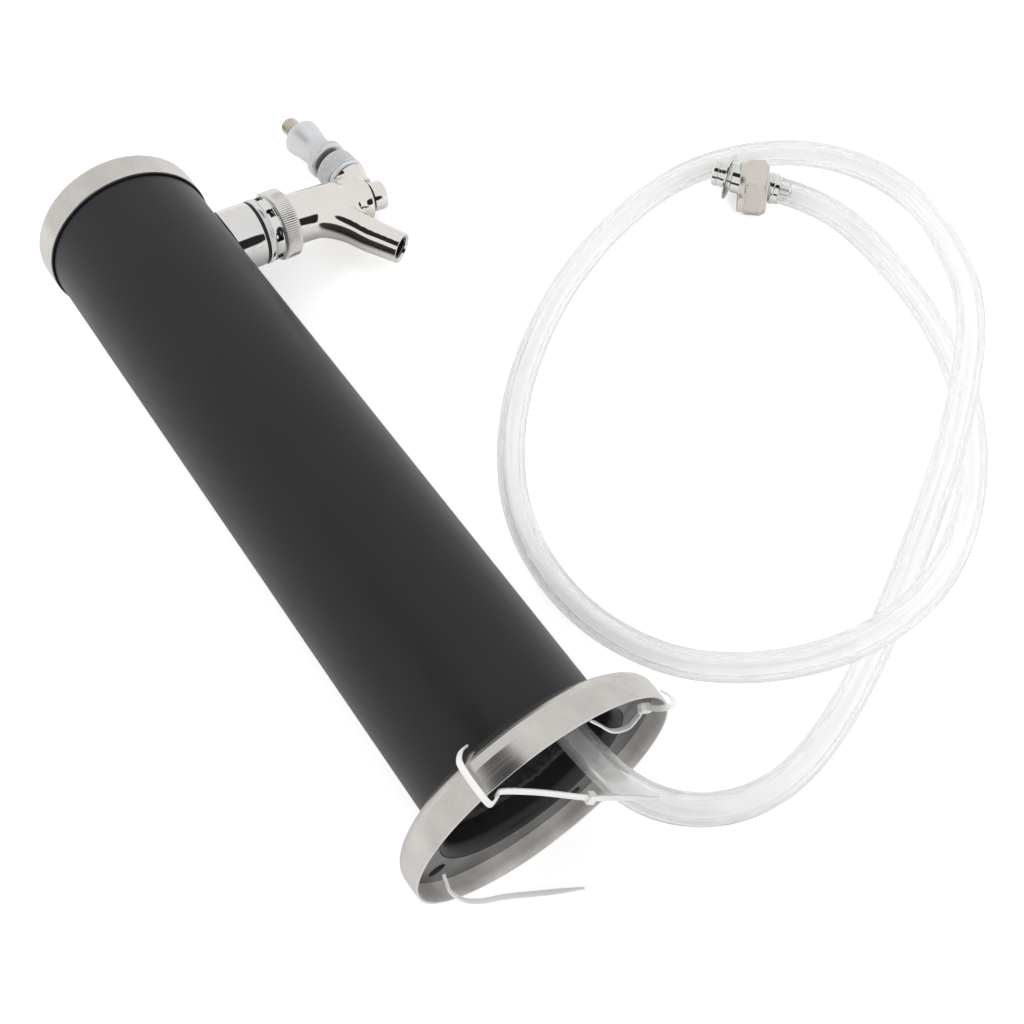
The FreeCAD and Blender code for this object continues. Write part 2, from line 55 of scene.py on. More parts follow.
BASE = Vector((0, 0, FLANGE_R * math.cos(TILT) + FLANGE_S * math.sin(TILT))) - ORIGIN
BASE_CENTRE = Vector((0, 0, 0))
OUT, SIDE, UP = Vector((1, 0, 0)), Vector((0, 1, 0)), Vector((0, 0, 1))

COLUMN_R = 38.1
COLUMN_BORE_R = 36.6
DECK_TOP = 19.2
SHANK_Z = 304.5
BARREL_START = 61.4
BARREL_DROP = math.radians(5)
LEVER_LEAN = math.radians(5.5)
BARREL_WAY = Vector((math.cos(BARREL_DROP), 0, -math.sin(BARREL_DROP)))
LEVER_WAY = Vector((-math.sin(LEVER_LEAN), 0, math.cos(LEVER_LEAN)))
LEVER_SCALE = 1 / math.cos(LEVER_LEAN)
PIVOT_Z = 314.0
PIVOT = Vector((111.4, 0, PIVOT_Z))


def lie(point):
    """Tower frame, in mm, to the row frame, in metres."""
    x, y, z = point
    return (BASE + FAUCET * x + ACROSS * y + UP_TOWER * z) / MM


def from_base(point):
    """A place beside the tower to the row frame, in mm."""
    return Vector(point) - ORIGIN


def on_floor(point):
    """Row frame, in mm, to the row frame, in metres."""
    return Vector(point) / MM


def shank(distance):
    """A point on the shank's axis, by its distance from the column's axis."""
    return Vector((distance, 0, SHANK_Z))


def barrel(distance):
    """A point on the faucet barrel's axis, by its distance from the shank's end."""
    return shank(BARREL_START) + BARREL_WAY * distance


def lever(height):
    """A point on the lever's axis, by its height in the tower frame."""
    return PIVOT + LEVER_WAY * ((height - PIVOT_Z) / math.cos(LEVER_LEAN))


def lever_profile(points):
    """A profile of (height, radius), as distances from the pivot along the lever."""
    return [((h - PIVOT_Z) * LEVER_SCALE, r) for h, r in points]


# ---------------------------------------------------------------- mesh tools
TINY = 1e-6


def add_object(name, verts, faces, body, material, sharp=32, uvs=None):
    """A finished piece from its mesh."""
    mesh = bpy.data.meshes.new(name)
    mesh.from_pydata([tuple(v) for v in verts], [], faces)
    if uvs:
        layer = mesh.uv_layers.new(name="UVMap")
        for polygon, corners in zip(mesh.polygons, uvs):
            for loop, uv in zip(polygon.loop_indices, corners):
                layer.data[loop].uv = uv
    mesh.validate()
    obj = bpy.data.objects.new(name, mesh)
    bpy.context.scene.collection.objects.link(obj)
    dress(obj, body, material, sharp)
    return obj


def dress(obj, body, material, sharp=32):
    """Material, shading and body of a finished piece. Edges past sharp degrees stay sharp."""
    mesh = obj.data
    mesh.materials.clear()
    mesh.materials.append(material)
    mesh.polygons.foreach_set("use_smooth", [True] * len(mesh.polygons))
    mesh.set_sharp_from_angle(angle=math.radians(sharp))
    mesh.update()
    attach(obj, body)


def eased(profile, radius, closed=False, steps=5):
    """A profile with its corners rounded."""
    least_turn, share = 0.05, 0.45
    out = []
    count = len(profile)
    for i, point in enumerate(profile):
        here = Vector(point)
        if not closed and i in (0, count - 1):
            out.append(here)
            continue
        before = Vector(profile[i - 1])
        after = Vector(profile[(i + 1) % count])
        back, on = before - here, after - here
        turn = math.pi - back.angle(on)
        if turn < least_turn:
            out.append(here)
            continue
        reach = min(radius * math.tan(turn / 2), share * back.length, share * on.length)
        a, c = here + back.normalized() * reach, here + on.normalized() * reach
        for k in range(steps + 1):
            t = k / steps
            out.append(a * (1 - t) ** 2 + here * (2 * t * (1 - t)) + c * t * t)
    return out


def side_axes(way):
    """Two unit vectors square to a direction and to each other."""
    way = way.normalized()
    other = SIDE if abs(way.y) < 0.9 else OUT
    first = (other - way * other.dot(way)).normalized()
    return first, way.cross(first)


def lathe_mesh(profile, start, way, segments=160, closed=False, shape=None, place=lie):
    """Verts, faces and uvs of a profile of (distance, radius) turned about an axis.

    shape(index, angle, distance, radius) may move a point, for teeth, threads and flats.
    place turns a point in mm into the row frame. The uvs are in metres, around and along.
    """
    first, second = side_axes(way)
    way = way.normalized()
    verts, rows, run = [], [], []
    travelled = 0.0
    last = None
    for index, (d, r) in enumerate(profile):
        if last is not None:
            travelled += math.hypot(d - last[0], r - last[1])
        last = (d, r)
        run.append(travelled)
        row = []
        if r < TINY:
            row = [len(verts)] * segments
            verts.append(place(start + way * d))
        else:
            for k in range(segments):
                angle = 2 * math.pi * k / segments
                d2, r2 = shape(index, angle, d, r) if shape else (d, r)
                row.append(len(verts))
                side = first * math.cos(angle) + second * math.sin(angle)
                verts.append(place(start + way * d2 + side * r2))
        rows.append(row)
    faces, uvs = [], []
    pairs = list(zip(range(len(rows)), range(1, len(rows))))
    if closed:
        pairs.append((len(rows) - 1, 0))
    for i, j in pairs:
        radius = max(profile[i][1], profile[j][1], 0.1)
        v0 = run[i] / MM
        v1 = (run[j] if j else run[i] + 1.0) / MM
        for k in range(segments):
            n = (k + 1) % segments
            u0 = 2 * math.pi * radius * k / segments / MM
            u1 = 2 * math.pi * radius * (k + 1) / segments / MM
            quad = [rows[i][k], rows[i][n], rows[j][n], rows[j][k]]
            corner = [(u0, v0), (u1, v0), (u1, v1), (u0, v1)]
            seen, face, uv = set(), [], []
            for vertex, c in zip(quad, corner):
                if vertex not in seen:
                    seen.add(vertex)
                    face.append(vertex)
                    uv.append(c)
            if len(face) > 2:
                faces.append(face)
                uvs.append(uv)
    return verts, faces, uvs


def lathe(name, profile, start, way, body, material, segments=160, closed=False, shape=None,
          place=lie, sharp=32, nodes=()):
    """A turned piece, which stands for the CAD nodes named."""
    verts, faces, uvs = lathe_mesh(profile, start, way, segments, closed, shape, place)
    obj = add_object(name, verts, faces, body, material, sharp, uvs)
    flip_outward(obj)
    if nodes:
        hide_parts(*nodes)
    return obj


def flip_outward(obj):
    """Turns the faces so that they all look outwards."""
    work = bmesh.new()
    work.from_mesh(obj.data)
    bmesh.ops.recalc_face_normals(work, faces=work.faces)
    work.to_mesh(obj.data)
    work.free()


def tool_object(verts, faces):
    """A closed temporary solid, used to build and to cut."""
    mesh = bpy.data.meshes.new("tool")
    mesh.from_pydata([tuple(v) for v in verts], [], faces)
    obj = bpy.data.objects.new("tool", mesh)
    bpy.context.scene.collection.objects.link(obj)
    flip_outward(obj)
    return obj


def rod(start, end, radius, end_radius=None, segments=64):
    """A temporary rod or cone in the tower frame."""
    way = end - start
    tip = radius if end_radius is None else end_radius
    profile = [(0, 0), (0, radius), (way.length, tip), (way.length, 0)]
    verts, faces, _ = lathe_mesh(profile, start, way, segments)
    return tool_object(verts, faces)


def block(start, axes, along, across, height):
    """A temporary block in the tower frame: (low, high) along two axes, and a height up the third."""
    x_axis, y_axis, z_axis = axes
    (x0, x1), (y0, y1) = along, across
    verts = []
    for rise in (0, height):
        for x, y in ((x0, y0), (x1, y0), (x1, y1), (x0, y1)):
            verts.append(lie(start + x_axis * x + y_axis * y + z_axis * rise))
    faces = [[0, 1, 2, 3], [7, 6, 5, 4], [0, 4, 5, 1], [1, 5, 6, 2], [2, 6, 7, 3], [3, 7, 4, 0]]
    return tool_object(verts, faces)


def evaluated(obj):
    """A new mesh of the object with its modifiers applied."""
    graph = bpy.context.evaluated_depsgraph_get()
    return bpy.data.meshes.new_from_object(obj.evaluated_get(graph))


def applied(obj):
    """The object, with its modifiers turned into mesh."""
    mesh = evaluated(obj)
    obj.modifiers.clear()
    obj.data = mesh
    return obj


def cut(obj, tool):
    """Cuts the tool's shape out of the object and deletes the tool."""
    mod = obj.modifiers.new("cut", "BOOLEAN")
    mod.operation = "DIFFERENCE"
    mod.solver = "EXACT"
    mod.object = tool
    applied(obj)
    bpy.data.objects.remove(tool)


def joined(objects):
    """The objects' meshes, loose beside each other, in the first of them."""
    work = bmesh.new()
    for obj in objects:
        work.from_mesh(obj.data)
    mesh = bpy.data.meshes.new("joined")
    work.to_mesh(mesh)
    work.free()
    keep = objects[0]
    keep.data = mesh
    for obj in objects[1:]:
        bpy.data.objects.remove(obj)
    return keep


def remeshed(obj, voxel, smooth_steps, factor=0.5):
    """The union of the object's solids, blended: small voxels, in mm, and then smoothing."""
    mod = obj.modifiers.new("remesh", "REMESH")
    mod.mode = "VOXEL"
    mod.voxel_size = voxel / MM
    mod = obj.modifiers.new("smooth", "SMOOTH")
    mod.factor = factor
    mod.iterations = smooth_steps
    return applied(obj)


def catmull(points, steps):
    """A smooth line through points."""
    pts = [Vector(p) for p in points]
    pts = [pts[0] * 2 - pts[1]] + pts + [pts[-1] * 2 - pts[-2]]
    out = []
    for i in range(1, len(pts) - 2):
        a, b, c, d = pts[i - 1:i + 3]
        for k in range(steps):
            t = k / steps
            out.append(0.5 * ((2 * b) + (c - a) * t + (2 * a - 5 * b + 4 * c - d) * t * t
                              + (3 * b - a - 3 * c + d) * t ** 3))
    out.append(pts[-2])
    return out


def sweep(path, section, side, caps=True, change=None):
    """Verts and faces of a closed section carried along a path, its first axis starting along side.

    change(row, corner, a, b) may move a corner of the section.
    """
    verts, rows = [], []
    way = (path[1] - path[0]).normalized()
    first = (side - way * side.dot(way)).normalized()
    for i, point in enumerate(path):
        ahead = path[min(i + 1, len(path) - 1)]
        behind = path[max(i - 1, 0)]
        way = (ahead - behind).normalized()
        first = (first - way * first.dot(way)).normalized()
        second = way.cross(first)
        row = []
        for k, (a, b) in enumerate(section):
            if change:
                a, b = change(i, k, a, b)
            row.append(len(verts))
            verts.append(point + first * a + second * b)
        rows.append(row)
    faces = []
    n = len(section)
    for r0, r1 in zip(rows, rows[1:]):
        for k in range(n):
            m = (k + 1) % n
            faces.append([r0[k], r0[m], r1[m], r1[k]])
    if caps:
        faces.append(rows[0][::-1])
        faces.append(rows[-1])
    return verts, faces


def circle(count):
    """A section for sweep: a circle of radius 1."""
    angles = [2 * math.pi * k / count for k in range(count)]
    return [(math.cos(a), math.sin(a)) for a in angles]


ROWS_PER_TURN = 8


def groove(d, angle, pitch):
    """How deep a point lies in a screw thread, from 0 at the crest to 1 at the root."""
    return abs(((d / pitch - angle / (2 * math.pi)) % 1.0) * 2 - 1)


# ---------------------------------------------------------------- materials
def principled(name, base, rough, metallic=0.0, **sockets):
    """A material with its shader's constants set, and its node tree and shader."""
    mat = bpy.data.materials.new(name)
    mat.use_nodes = True
    shader = mat.node_tree.nodes["Principled BSDF"]
    shader.inputs["Base Color"].default_value = (*base, 1)
    shader.inputs["Roughness"].default_value = rough
    shader.inputs["Metallic"].default_value = metallic
    for key, value in sockets.items():
        shader.inputs[key.replace("_", " ")].default_value = value
    mat.diffuse_color = (*base, 1)
    return mat, mat.node_tree, shader


def coords(tree, kind, scale=(1, 1, 1)):
    where = tree.nodes.new("ShaderNodeTexCoord")
    mapping = tree.nodes.new("ShaderNodeMapping")
    mapping.inputs["Scale"].default_value = scale
    tree.links.new(where.outputs[kind], mapping.inputs["Vector"])
    return mapping.outputs["Vector"]


def noise(tree, vector, scale, detail=4.0, rough=0.55):
    """A noise texture's factor."""
    node = tree.nodes.new("ShaderNodeTexNoise")
    node.inputs["Scale"].default_value = scale
    node.inputs["Detail"].default_value = detail
    node.inputs["Roughness"].default_value = rough
    tree.links.new(vector, node.inputs["Vector"])
    return node.outputs["Fac"]


def ramp(tree, fac, stops):
    node = tree.nodes.new("ShaderNodeValToRGB")
    node.color_ramp.elements[0].position = stops[0][0]
    node.color_ramp.elements[0].color = (*stops[0][1], 1)
    node.color_ramp.elements[1].position = stops[-1][0]
    node.color_ramp.elements[1].color = (*stops[-1][1], 1)
    for position, color in stops[1:-1]:
        node.color_ramp.elements.new(position).color = (*color, 1)
    tree.links.new(fac, node.inputs["Fac"])
    return node.outputs["Color"]


def spread(tree, fac, low, high, start=0.3, end=0.7):
    """The factor's stretch from start to end, spread from low to high."""
    node = tree.nodes.new("ShaderNodeMapRange")
    node.inputs["From Min"].default_value = start
    node.inputs["From Max"].default_value = end
    node.inputs["To Min"].default_value = low
    node.inputs["To Max"].default_value = high
    tree.links.new(fac, node.inputs["Value"])
    return node.outputs["Result"]


def bump(tree, shader, height, strength, distance):
    node = tree.nodes.new("ShaderNodeBump")
    node.inputs["Strength"].default_value = strength
    node.inputs["Distance"].default_value = distance
    tree.links.new(height, node.inputs["Height"])
    tree.links.new(node.outputs["Normal"], shader.inputs["Normal"])


def black_paint():
    """Satin black paint with a fine grain."""
    mat, tree, shader = principled("black_paint", (0.011, 0.011, 0.012), 0.36,
                                   Specular_IOR_Level=0.44, Specular_Tint=(0.97, 0.97, 1.0, 1))
    fine = noise(tree, coords(tree, "Object"), 2600, 2.0)
    broad = noise(tree, coords(tree, "Object"), 30, 3.0)
    tree.links.new(spread(tree, broad, 0.33, 0.41), shader.inputs["Roughness"])
    stops = [(0.3, (0.0075, 0.0075, 0.0088)), (0.7, (0.0105, 0.0105, 0.012))]
    tree.links.new(ramp(tree, broad, stops), shader.inputs["Base Color"])
    bump(tree, shader, fine, 0.12, 0.0001)
    return mat


def brushed(name, base, low, high, fine=1500, along=4, mottle=0.0, metallic=1.0):
    """Spun metal: fine lines run around the turned piece."""
    mat, tree, shader = principled(name, base, (low + high) / 2, metallic)
    lines = noise(tree, coords(tree, "UV", (along, fine, 1)), 1.0, 3.0, 0.6)
    patches = noise(tree, coords(tree, "Object"), 55, 4.0, 0.6)
    tree.links.new(spread(tree, lines, low, high), shader.inputs["Roughness"])
    dark = tuple(c * (1 - mottle) for c in base)
    tree.links.new(ramp(tree, patches, [(0.35, dark), (0.65, base)]), shader.inputs["Base Color"])
    bump(tree, shader, lines, 0.10, 0.00005)
    return mat


def chrome(name, base, low, high):
    """Plated or plain metal, with a faint haze."""
    mat, tree, shader = principled(name, base, (low + high) / 2, 1.0)
    haze = noise(tree, coords(tree, "Object"), 90, 3.0)
    tree.links.new(spread(tree, haze, low, high), shader.inputs["Roughness"])
    tint = tuple(c * 0.95 for c in base)
    tree.links.new(ramp(tree, haze, [(0.3, tint), (0.7, base)]), shader.inputs["Base Color"])
    bump(tree, shader, haze, 0.02, 0.0003)
    return mat


def metal_with_painted_groove_shade(name, base, low, high, dark=0.30, start=0.42):
    """Metal with fine ridges and grooves, and painted shade: its grooves are painted darker than its
    crests and flat parts.
    """
    flat = 0.497
    mat, tree, shader = principled(name, base, (low + high) / 2, 1.0)
    haze = noise(tree, coords(tree, "Object"), 90, 3.0)
    tree.links.new(spread(tree, haze, low, high), shader.inputs["Roughness"])
    pointed = tree.nodes.new("ShaderNodeNewGeometry").outputs["Pointiness"]
    # deep is the painted shade colour for the grooves, where pointiness is low.
    deep = tuple(c * dark for c in base)
    tree.links.new(ramp(tree, pointed, [(start, deep), (flat, base)]), shader.inputs["Base Color"])
    return mat


def matt(name, dark, light, rough, scale, height, strength=0.4, **sockets):
    """Rubber, foam or nylon, with a grain."""
    mat, tree, shader = principled(name, light, rough, 0.0, **sockets)
    grain = noise(tree, coords(tree, "Object"), scale, 5.0, 0.6)
    tree.links.new(ramp(tree, grain, [(0.35, dark), (0.65, light)]), shader.inputs["Base Color"])
    tree.links.new(spread(tree, grain, rough - 0.06, rough + 0.06), shader.inputs["Roughness"])
    bump(tree, shader, grain, strength, height)
    return mat


def vinyl(name, ior, rough=0.03):
    """Clear soft vinyl."""
    mat, tree, shader = principled(name, (0.985, 0.99, 0.985), rough, 0.0,
                                   Transmission_Weight=0.86, IOR=ior)
    haze = noise(tree, coords(tree, "Object"), 160, 3.0)
    tree.links.new(spread(tree, haze, rough, rough + 0.05), shader.inputs["Roughness"])
    ripple = noise(tree, coords(tree, "Object"), 45, 2.0)
    bump(tree, shader, ripple, 0.05, 0.0006)
    return mat


PAINT = black_paint()
STAINLESS = brushed("brushed_stainless", (0.76, 0.73, 0.70), 0.16, 0.28, mottle=0.14)
STAINLESS_INSIDE = brushed("stainless_inside", (0.80, 0.77, 0.74), 0.34, 0.50, 60, 500, 0.30, 0.45)
PLATE = brushed("plate_grey", (0.30, 0.30, 0.30), 0.38, 0.55, 900, 30, 0.25)
CHROME = chrome("chrome", (0.88, 0.87, 0.855), 0.035, 0.075)
CHROME_CAST = chrome("chrome_cast", (0.95, 0.91, 0.87), 0.035, 0.07)
NICKEL = chrome("nickel", (0.80, 0.755, 0.70), 0.20, 0.32)
ZINC = chrome("zinc", (0.60, 0.58, 0.54), 0.25, 0.4)
# The stud, chrome_cut and satin_cut finishes paint shade into their grooves.
STUD = metal_with_painted_groove_shade("stud_metal", (0.80, 0.72, 0.63), 0.25, 0.38)
CHROME_CUT = metal_with_painted_groove_shade("chrome_cut", (0.88, 0.87, 0.855), 0.05, 0.10)
SATIN_CUT = metal_with_painted_groove_shade("satin_cut", (0.87, 0.88, 0.89), 0.40, 0.48, 0.45)
BORE_METAL = chrome("bore_metal", (0.34, 0.34, 0.35), 0.20, 0.30)
BRASS = chrome("brass", (0.75, 0.58, 0.33), 0.22, 0.35)
RUBBER = matt("black_rubber", (0.012, 0.012, 0.012), (0.025, 0.025, 0.025), 0.55, 900, 0.0001)
FOAM = matt("foam", (0.018, 0.018, 0.019), (0.06, 0.06, 0.062), 0.9, 420, 0.0012, 0.9)
# The nylon's faint white emission is painted light: the ties glow a little, though they are no lamp.
GLOWING_NYLON = matt("nylon", (0.90, 0.90, 0.885), (0.95, 0.95, 0.94), 0.38, 260, 0.00005, 0.2,
             Subsurface_Weight=0.25, Subsurface_Radius=(0.002, 0.002, 0.002),
             Emission_Color=(1, 1, 1, 1), Emission_Strength=0.10)
# The bore's wall looks out of the vinyl into air, so its index is inverted.
VINYL_IOR = 1.52
VINYL = vinyl("clear_vinyl", VINYL_IOR, 0.015)
VINYL_BORE = vinyl("clear_vinyl_bore", 1 / VINYL_IOR)


# ---------------------------------------------------------------- column, cap and base
def build_column():
    """The painted tube, flared at its foot, with the hole for the shank."""
    top, hole_r = 334, 11.3
    profile = [(12.8, COLUMN_BORE_R), (top, COLUMN_BORE_R), (top, COLUMN_R), (16, COLUMN_R),
               (14.3, 38.15), (12.8, 38.4), (11.6, 38.95), (10.6, 39.75), (9.9, 40.4), (9.0, 40.5),
               (8.2, 40.3), (8.6, 39.0), (9.6, 37.9), (11.0, 37.0)]
    column = lathe("column", profile, BASE_CENTRE, UP, "tower", PAINT, 256, True)
    cut(column, rod(shank(0), shank(60), hole_r))
    dress(column, "tower", PAINT)
    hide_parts("column_tube")


def build_flange():
    """The spun base: brushed outside, duller inside, with a bright rolled lip."""
    outer = [(0.0, 55.25), (0.6, 55.35), (4, 55.5), (8.3, FLANGE_R), (10.2, 55.3), (11.9, 54.4),
             (13.3, 53.0), (14.5, 51.1), (15.6, 48.9), (16.9, 46.3), (18.0, 43.85), (18.7, 41.8),
             (19.1, 39.8), (DECK_TOP, 38.15)]
    inner = [(18.0, 38.15), (17.9, 39.7), (17.5, 41.6), (16.9, 43.2), (15.7, 45.9), (14.4, 48.5),
             (13.3, 50.5), (12.1, 52.2), (10.9, 53.5), (9.6, 54.15), (8, 54.2), (4, 54.2), (0.5, 54.25),
             (0.1, 54.5), (0.3, 54.8)]
    lip = [(0.0, 54.5), (0.0, 55.3), (0.6, 55.3), (0.6, 54.5)]
    lathe("flange_shell", eased(outer, 1.5), BASE_CENTRE, UP, "tower",
          STAINLESS, 288, nodes=("base_flange",))
    lathe("flange_inside", outer[-1:] + inner, BASE_CENTRE, UP, "tower",
          STAINLESS_INSIDE, 288)
    lathe("flange_lip", eased(lip, 0.3, True), BASE_CENTRE, UP, "tower",
          CHROME, 288, True)


def build_liner():
    """The foam sleeve, with a lumpy surface."""
    bore_r, outer_r, length, rows = 30.8, 36.1, 302.5, 90

    def lumpy(index, angle, d, r):
        wave = math.sin(angle * 37 + d * 2.3) * math.sin(angle * 23 - d * 3.1)
        return d + 0.35 * wave, r + 0.25 * math.sin(angle * 51 + d * 1.7)
    profile = [(DECK_TOP + length * i / rows, bore_r) for i in range(rows + 1)]
    profile += [(DECK_TOP + length, outer_r), (DECK_TOP, outer_r), (DECK_TOP, 34.3), (DECK_TOP, 32.6)]
    lathe("foam_sleeve", profile, BASE_CENTRE, UP, "tower", FOAM, 200, True, lumpy,
          nodes=("foam_liner",))


def build_cap():
    """The cap, its underside and the ring under its skirt."""
    skirt = CAP_S - 11.5
    shell = [(skirt, 38.45), (skirt, 39.3), (skirt + 0.5, CAP_R), (338.2, CAP_R), (339.6, 39.15),
             (340.9, 38.3), (341.9, 36.9), (342.4, 35.0), (342.5, 32), (342.5, 16), (342.5, 0)]
    under = [(341.3, 0), (341.3, 34.6), (340.6, 36.8), (339, 38.2), (337.5, 38.4), (skirt, 38.45)]
    ring = [(325.8, 38.42), (325.8, 39.0), (326.45, 39.0), (326.45, 38.42)]
    lathe("cap_shell", eased(shell, 0.6), BASE_CENTRE, UP, "cap", STAINLESS, 256,
          nodes=("top_cap",))
    lathe("cap_under", under, BASE_CENTRE, UP, "cap", STAINLESS, 160)
    lathe("cap_ring", eased(ring, 0.2, True), BASE_CENTRE, UP, "cap", RUBBER, 192, True,
          nodes=("cap_seal",))


def dress_node(name, material):
    """A CAD node that is shown as it is, in the material given."""
    node = NODES[name]
    node.data.materials.clear()
    node.data.materials.append(material)


# ---------------------------------------------------------------- shank and coupling nut
def build_sleeve():
    """Chrome sleeve whose tower end is cut to the column's curve, and the washer at its other end."""
    seat_r = COLUMN_R + 0.04
    end_steps = (0.0, 0.0, 0.9)
    profile = [(38, 11.05), (38, 15.0), (39, 15.6), (44, 15.6), (50.5, 15.6), (51.05, 15.5), (51.3, 15.2),
               (51.3, 11.05)]
    first, second = side_axes(OUT)

    def saddle(index, angle, d, r):
        if index >= len(end_steps):
            return d, r
        y = r * (first * math.cos(angle) + second * math.sin(angle)).y
        return math.sqrt(seat_r ** 2 - y * y) + end_steps[index], r
    lathe("sleeve", profile, shank(0), OUT, "tower", CHROME, 192, True, saddle,
          nodes=("shank_sleeve",))
    washer = [(51.35, 11.1), (51.35, 15.2), (51.5, 15.4), (52.2, 15.4), (52.35, 15.2), (52.35, 11.1)]
    lathe("shank_gasket", washer, shank(0), OUT, "tower", RUBBER, 128, True,
          nodes=("shank_washer",))


def build_coupling_nut():
    """The nut: a finely milled ring, spanner windows around its waist and a fluted grip."""
    teeth_count, teeth_depth = 160, 0.28
    flute_count, flute_depth = 100, 0.75
    windows, window_turn, sharp = 8, 20, 28
    half_length, half_width, window_depth = 1.75, 2.2, 6

    def teeth(index, angle, d, r):
        if r > 15 and 52.7 < d < 55.2:
            return d, r - teeth_depth * (0.5 - 0.5 * math.cos(angle * teeth_count))
        if r > 15.8 and 60.8 < d < 69.1:
            return d, r - flute_depth * (1 - abs(math.sin(angle * flute_count / 2))) ** 2
        return d, r
    profile = [(52.6, 11.4), (52.6, 15.3), (52.8, 15.75), (53.0, 15.85), (54.9, 15.85), (55.2, 15.6),
               (55.5, 15.3), (55.9, 15.35), (56.3, 15.5), (59.8, 15.5), (60.2, 15.45), (60.6, 15.7),
               (60.9, 16.5), (61.3, 16.9), (68.2, 16.9), (68.7, 16.75), (69.2, 16.2), (69.3, 15.6),
               (69.3, 14.8), (68.8, 14.6), (55.1, 14.6), (55.0, 14.4), (55.0, 11.4)]
    nut = lathe("coupling_ring", profile, shank(0), OUT, "coupling_nut", CHROME_CUT, 800, True,
                teeth, sharp=sharp)
    for i in range(windows):
        angle = math.radians(360 / windows * i + window_turn)
        radial = Vector((0, math.cos(angle), math.sin(angle)))
        start = shank(58.0) + radial * 12.6
        cut(nut, block(start, (OUT, OUT.cross(radial), radial), (-half_length, half_length),
                       (-half_width, half_width), window_depth))
    dress(nut, "coupling_nut", CHROME_CUT, sharp)
    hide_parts("coupling_nut")


# ---------------------------------------------------------------- faucet
SPOUT_DROP = math.radians(60)
SPOUT_WAY = Vector((math.cos(SPOUT_DROP), 0, -math.sin(SPOUT_DROP)))
SPOUT_END = Vector((108, 0, 262))


def casting_line():
    """The casting's main run, from inside the coupling nut to the spout's mouth, with its radii."""
    spots = [(barrel(2), 11.7), (barrel(9), 11.7), (Vector((77.5, 0, 302.4)), 11.3),
             (Vector((84.5, 0, 299.6)), 10.2), (Vector((90.5, 0, 293.8)), 9.2),
             (Vector((95.5, 0, 286.0)), 8.6), (SPOUT_END - SPOUT_WAY * 17, 8.15),
             (SPOUT_END - SPOUT_WAY * 8.5, 7.85), (SPOUT_END, 7.6), (SPOUT_END + SPOUT_WAY * 4, 7.5)]
    line = catmull([point for point, _ in spots], 6)
    radii = [v.x for v in catmull([(r, 0, 0) for _, r in spots], 6)]
    return line, radii


def bore_line():
    """The beer's way from the barrel out through the spout."""
    points = [Vector((72, 0, 303.2)), Vector((82, 0, 300.6)), Vector((89.5, 0, 294.4)),
              SPOUT_END - SPOUT_WAY * 24, SPOUT_END - SPOUT_WAY * 12, SPOUT_END,
              SPOUT_END + SPOUT_WAY * 6]
    return catmull(points, 6)


def tube_tool(line, radii):
    """A temporary closed tube along a line, one radius for each point."""
    verts, faces = sweep(line, circle(48), SIDE, True, lambda i, k, a, b: (a * radii[i], b * radii[i]))
    return tool_object([lie(v) for v in verts], faces)


def slot_tool(lowest, back, front, half):
    """A temporary block square to the lever, which cuts the slots that its tip moves in."""
    towards = LEVER_WAY.cross(SIDE) * -1
    return block(lever(lowest), (towards, SIDE, LEVER_WAY), (-back, front), (-half, half), 9)


def build_faucet():
    """The casting: solids for the spout, barrel, nose and lever boss, blended into one and bored."""
    rise = UP * 0.9
    line, radii = casting_line()
    parts = [
        tube_tool(line, radii),
        rod(barrel(8) + rise, barrel(36) + rise, 12.5, 12.4),
        rod(barrel(35.5), barrel(43), 12.0, 9.8),
        rod(barrel(42.5), barrel(46), 9.8, 10.8),
        rod(barrel(45.5), barrel(50.6), 10.8, 10.8),
        rod(lever(306), lever(311), 7.6, 8.0),
        rod(lever(310.5), lever(318), 8.0, 10.8),
        rod(barrel(32), lever(311), 10.8, 8.0),
        rod(barrel(25), lever(310), 10.8, 8.0)]
    body = remeshed(joined(parts), 0.42, 44)
    body.name = "faucet_casting"
    all_across = 30
    bore = bore_line()
    cut(body, rod(SPOUT_END, SPOUT_END + SPOUT_WAY * 12, all_across))
    cut(body, rod(lever(315.5), lever(330), all_across))
    cut(body, rod(barrel(49.8), barrel(66), 9.0))
    cut(body, rod(barrel(43.8), barrel(58), 7.5))
    cut(body, rod(barrel(-4), barrel(5.4), all_across))
    cut(body, tube_tool(bore, [5.9] * len(bore)))
    cut(body, rod(SPOUT_END - SPOUT_WAY * 1.4, SPOUT_END + SPOUT_WAY * 0.6, 5.4, 7.1))
    cut(body, rod(barrel(2), barrel(60), 6.06))
    cut(body, rod(barrel(2), barrel(14), 7.5))
    cut(body, rod(lever(309.6), lever(322), 5.85))
    cut(body, slot_tool(301.5, 8.2, 4.8, 3.3))
    dress(body, "tower", CHROME_CAST, 40)
    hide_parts("faucet_body")
    lining = [(-16, 5.5), (-16, 5.88), (-1.5, 5.88), (-1.5, 5.5)]
    lathe("spout_lining", lining, SPOUT_END, SPOUT_WAY, "tower", BORE_METAL, 96, True)


def build_faucet_thread():
    """The faucet's threaded end, inside the coupling nut."""
    radius, pitch, depth = 14.1, 1.4, 0.7
    rows = int(9.0 / pitch * ROWS_PER_TURN)
    thread = [(0.1, 7.5), (0.1, 13.6)]
    thread += [(0.4 + 8.8 * i / rows, radius) for i in range(rows + 1)]
    thread += [(9.5, 13.6), (9.5, 10.6), (7.6, 10.6), (7.6, 7.5)]

    def wind(index, angle, d, r):
        if r < radius:
            return d, r
        return d, r - depth * groove(d, angle, pitch)
    lathe("faucet_thread", thread, shank(59.2), OUT, "tower", CHROME, 96, True, wind)


